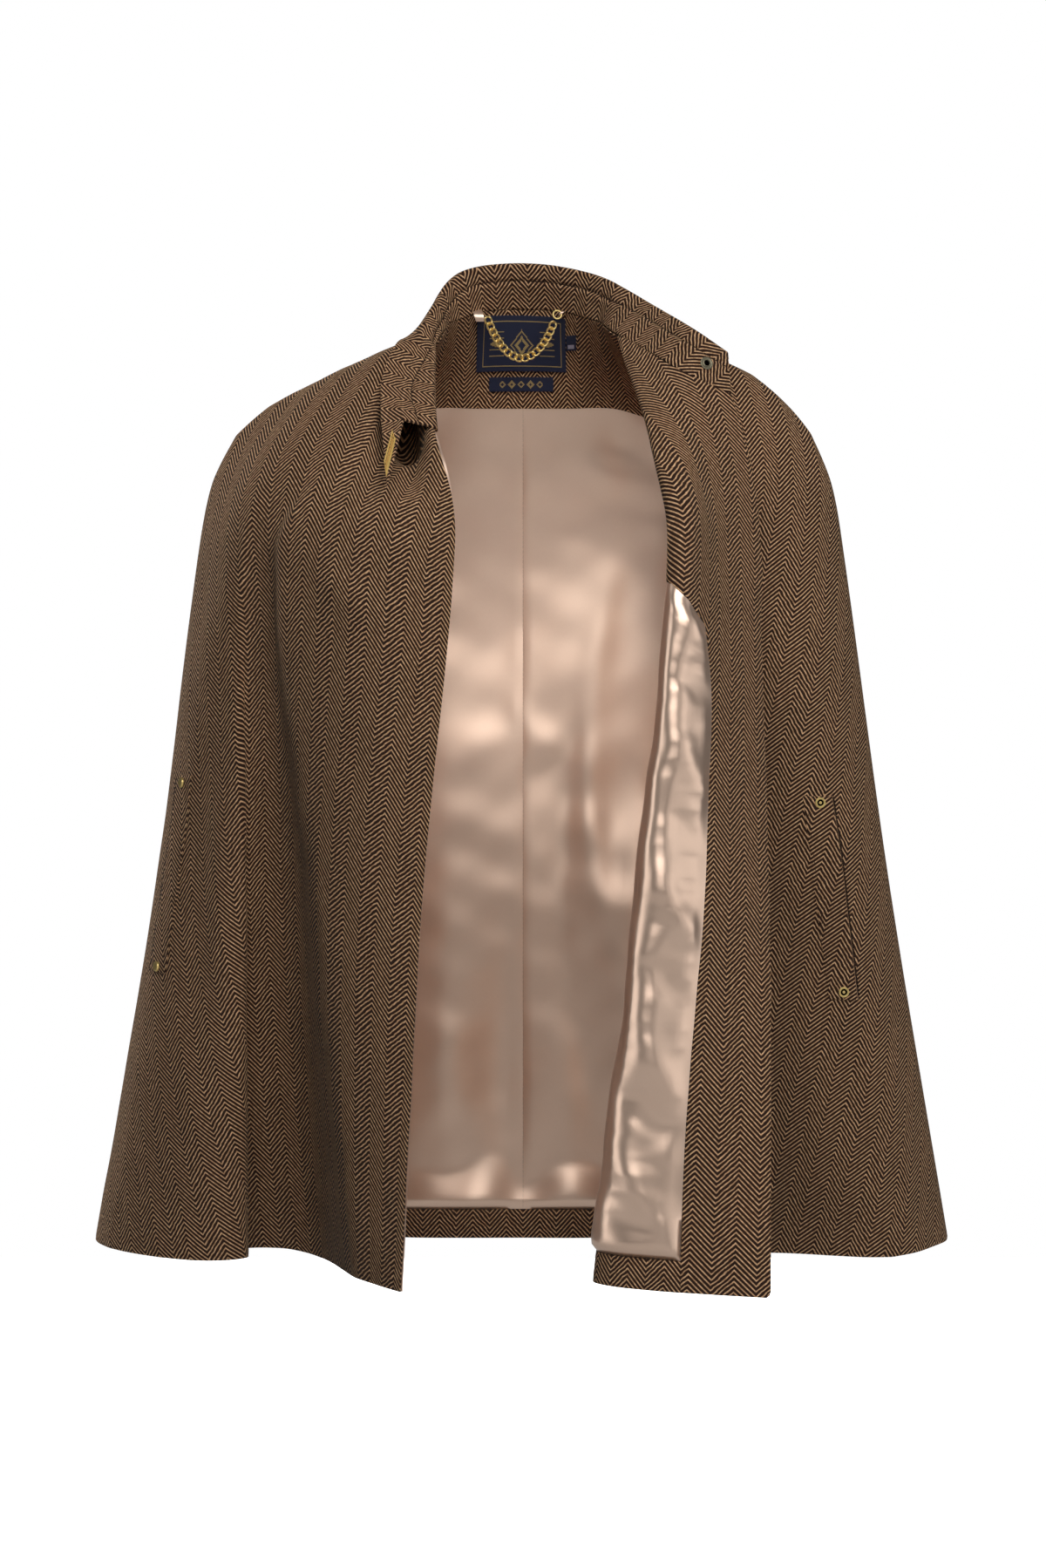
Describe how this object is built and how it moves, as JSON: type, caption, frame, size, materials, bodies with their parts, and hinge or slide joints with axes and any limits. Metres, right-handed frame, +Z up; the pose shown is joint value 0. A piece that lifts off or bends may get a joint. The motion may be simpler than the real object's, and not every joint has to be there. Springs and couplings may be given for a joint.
{
  "type": "cape",
  "caption": "Hip-length open-fronted herringbone tweed cape with arm slits, turned-down collar and satin lining, filled out as if worn, with the left front turned back.",
  "frame": {"origin": "Middle of the neck opening, at the level of the neck seam at the centre back, between the ends of the two shoulder seams: where a neck carries the cape.", "axes": "+Z up along the hanging cloth, -Y the way that the wearer faces, +X to the wearer's left."},
  "size_m": [0.7018, 0.3704, 0.8183],
  "materials": {
    "tweed": "brown and tan herringbone wool",
    "satin": "champagne satin lining",
    "gold_plate": "polished gold plate",
    "antique_bronze": "dark antique bronze",
    "navy_weave": "woven navy label"
  },
  "bodies": {
    "root": {"back": "tweed", "back_hem": "tweed", "back_lining_left": "satin", "back_lining_right": "satin", "back_neck_facing": "tweed", "chain_ring": "gold_plate", "chain_tab": "satin", "collar": "tweed", "collar_plaque": "gold_plate", "collar_snap": "antique_bronze", "hanger_chain": "gold_plate", "left_arm_welt": "tweed", "left_front": "tweed", "left_front_facing": "tweed", "left_front_hem": "tweed", "left_front_lining": "satin", "left_lower_snap": "gold_plate", "left_upper_snap": "gold_plate", "main_label": "navy_weave", "right_arm_welt": "tweed", "right_front": "tweed", "right_front_facing": "satin", "right_front_hem": "tweed", "right_front_lining": "satin", "right_lower_snap": "gold_plate", "right_upper_snap": "gold_plate", "size_tab": "navy_weave", "small_label": "navy_weave"}
  },
  "joints": []
}
